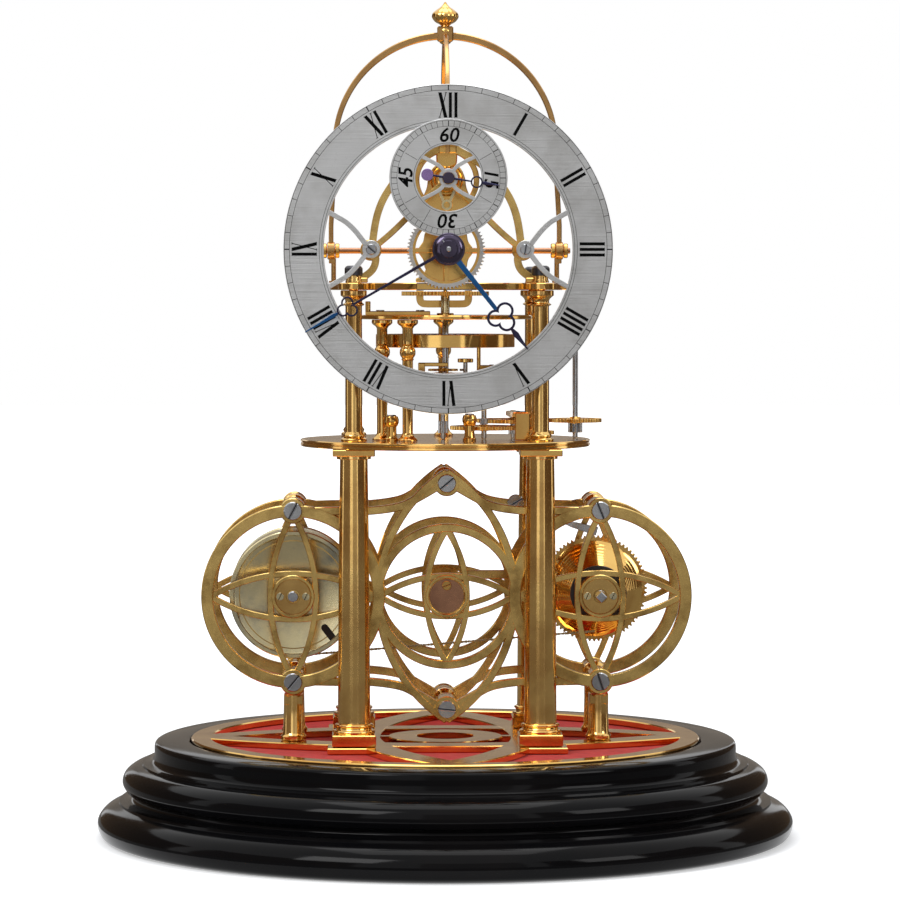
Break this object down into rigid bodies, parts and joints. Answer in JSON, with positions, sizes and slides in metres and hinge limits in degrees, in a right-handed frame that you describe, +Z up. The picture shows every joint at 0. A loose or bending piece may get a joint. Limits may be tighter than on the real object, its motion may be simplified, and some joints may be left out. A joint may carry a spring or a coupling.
{
  "type": "skeleton clock",
  "caption": "Brass skeleton clock on a round wooden base: pillars, pierced fusee movement, open balance escapement, pierced dial with a seconds dial and crossed hoops.",
  "frame": {"origin": "bottom centre of the round wooden base, on the surface that the clock stands on", "axes": "+Z up, the dial faces -Y, +X to the right of someone who reads the dial"},
  "size_m": [0.2786, 0.2786, 0.3334],
  "materials": {
    "black_lacquer": "gloss black lacquer",
    "red_felt": "napped felt",
    "polished_brass": "polished and lacquered",
    "satin_brass": "satin, slightly aged",
    "pale_brass": "brushed",
    "polished_steel": "polished",
    "dark_steel": "oiled",
    "blued_steel": "heat blued and polished",
    "silvered_brass": "silvered and finely brushed",
    "copper": "polished"
  },
  "bodies": {
    "clock_frame": {"wood_base": "black_lacquer", "felt_disc": "red_felt", "base_plate": "polished_brass", "lower_column_front_left": "polished_brass", "lower_column_front_right": "polished_brass", "lower_column_back_left": "polished_brass", "lower_column_back_right": "polished_brass", "movement_leg_front_left": "satin_brass", "movement_leg_front_right": "satin_brass", "movement_leg_back_left": "satin_brass", "movement_leg_back_right": "satin_brass", "front_frame": "satin_brass", "back_frame": "satin_brass", "frame_pillar_top": "polished_brass", "frame_pillar_bottom": "polished_brass", "frame_pillar_left_top": "polished_brass", "frame_pillar_left_bottom": "polished_brass", "frame_pillar_right_top": "polished_brass", "frame_pillar_right_bottom": "polished_brass", "barrel_arbor": "polished_steel", "drive_chain": "dark_steel", "mid_plate": "polished_brass", "upper_column_front_left": "polished_brass", "upper_column_front_right": "polished_brass", "upper_column_back_left": "polished_brass", "upper_column_back_right": "polished_brass", "top_plate": "polished_brass", "plate_pillar_1": "polished_brass", "plate_pillar_2": "polished_brass", "plate_pillar_3": "polished_brass", "sub_plate": "polished_brass", "stirrup_bracket": "polished_brass", "train_cock": "polished_brass", "escapement_platform": "polished_brass", "balance_spring": "blued_steel", "motion_cock": "polished_brass", "chapter_ring": "silvered_brass", "seconds_ring": "silvered_brass", "dial_frame": "polished_brass", "side_hoop": "polished_brass", "cross_hoop": "polished_brass", "cross_rod": "copper", "finial": "polished_brass"},
    "barrel": {"mainspring_barrel": "pale_brass"},
    "fusee_arbor": {"fusee": "polished_brass", "great_wheel": "polished_brass"},
    "contrate": {"contrate_wheel": "polished_brass"},
    "upright": {"upright_arbor": "polished_steel"},
    "second": {"second_wheel": "polished_brass"},
    "third": {"third_wheel": "polished_brass"},
    "outer": {"outer_wheel": "polished_brass"},
    "escape": {"escape_wheel": "polished_steel"},
    "balance": {"balance_wheel": "polished_brass"},
    "detent_lever": {"detent": "polished_steel"},
    "crown": {"crown_wheel": "polished_brass", "crown_arbor": "pale_brass"},
    "minute": {"motion_wheel": "silvered_brass", "minute_hand": "blued_steel"},
    "hour": {"hour_hand": "blued_steel"},
    "seconds": {"seconds_hand": "blued_steel"}
  },
  "joints": [
    {"name": "minute_turn", "type": "hinge", "parent": "clock_frame", "child": "minute", "pos_m": [0, 0, 0.2343], "axis": [0, 1, 0], "continuous": true},
    {"name": "hour_turn", "type": "hinge", "parent": "clock_frame", "child": "hour", "pos_m": [0, 0, 0.2343], "axis": [0, 1, 0], "continuous": true},
    {"name": "seconds_turn", "type": "hinge", "parent": "clock_frame", "child": "seconds", "pos_m": [0, 0, 0.2618], "axis": [0, 1, 0], "continuous": true},
    {"name": "crown_turn", "type": "hinge", "parent": "clock_frame", "child": "crown", "pos_m": [0, 0, 0.2172], "axis": [0, 0, 1], "continuous": true},
    {"name": "upright_turn", "type": "hinge", "parent": "clock_frame", "child": "upright", "pos_m": [0.03673, 0.004, 0.1616], "axis": [0, 0, 1], "continuous": true},
    {"name": "contrate_turn", "type": "hinge", "parent": "clock_frame", "child": "contrate", "pos_m": [0.03673, 0.0085, 0.1032], "axis": [0, 1, 0], "continuous": true},
    {"name": "fusee_turn", "type": "hinge", "parent": "clock_frame", "child": "fusee_arbor", "pos_m": [0.0606, 0, 0.0979], "axis": [0, 1, 0], "continuous": true},
    {"name": "barrel_turn", "type": "hinge", "parent": "clock_frame", "child": "barrel", "pos_m": [-0.0606, 0, 0.0979], "axis": [0, 1, 0], "continuous": true},
    {"name": "second_turn", "type": "hinge", "parent": "clock_frame", "child": "second", "pos_m": [0.02728, 0.0042, 0.1662], "axis": [0, 0, 1], "continuous": true},
    {"name": "third_turn", "type": "hinge", "parent": "clock_frame", "child": "third", "pos_m": [0.01525, -0.0075, 0.1638], "axis": [0, 0, 1], "continuous": true},
    {"name": "outer_turn", "type": "hinge", "parent": "clock_frame", "child": "outer", "pos_m": [0.0525, 0.0098, 0.1662], "axis": [0, 0, 1], "continuous": true},
    {"name": "escape_turn", "type": "hinge", "parent": "clock_frame", "child": "escape", "pos_m": [-0.001, -0.0075, 0.1868], "axis": [0, 0, 1], "continuous": true},
    {"name": "balance_swing", "type": "hinge", "parent": "clock_frame", "child": "balance", "pos_m": [0, 0, 0.1984], "axis": [0, 0, 1], "range_deg": [-220, 220], "stiffness_Nm_per_rad": 0.0017},
    {"name": "detent_lift", "type": "hinge", "parent": "clock_frame", "child": "detent_lever", "pos_m": [0.0078, -0.0095, 0.1906], "axis": [0, 0, 1], "range_deg": [-3, 3], "stiffness_Nm_per_rad": 0.0002}
  ],
  "couplings": [
    {"joint": "hour_turn", "follows": "minute_turn", "ratio": 0.083333},
    {"joint": "seconds_turn", "follows": "minute_turn", "ratio": 60},
    {"joint": "crown_turn", "follows": "minute_turn", "ratio": -0.88889},
    {"joint": "upright_turn", "follows": "minute_turn", "ratio": 1},
    {"joint": "contrate_turn", "follows": "minute_turn", "ratio": -0.44444},
    {"joint": "fusee_turn", "follows": "minute_turn", "ratio": 0.098765},
    {"joint": "barrel_turn", "follows": "minute_turn", "ratio": 0.06053},
    {"joint": "second_turn", "follows": "minute_turn", "ratio": -2},
    {"joint": "third_turn", "follows": "minute_turn", "ratio": 7.5},
    {"joint": "outer_turn", "follows": "minute_turn", "ratio": 2.7273},
    {"joint": "escape_turn", "follows": "minute_turn", "ratio": -22.5}
  ]
}
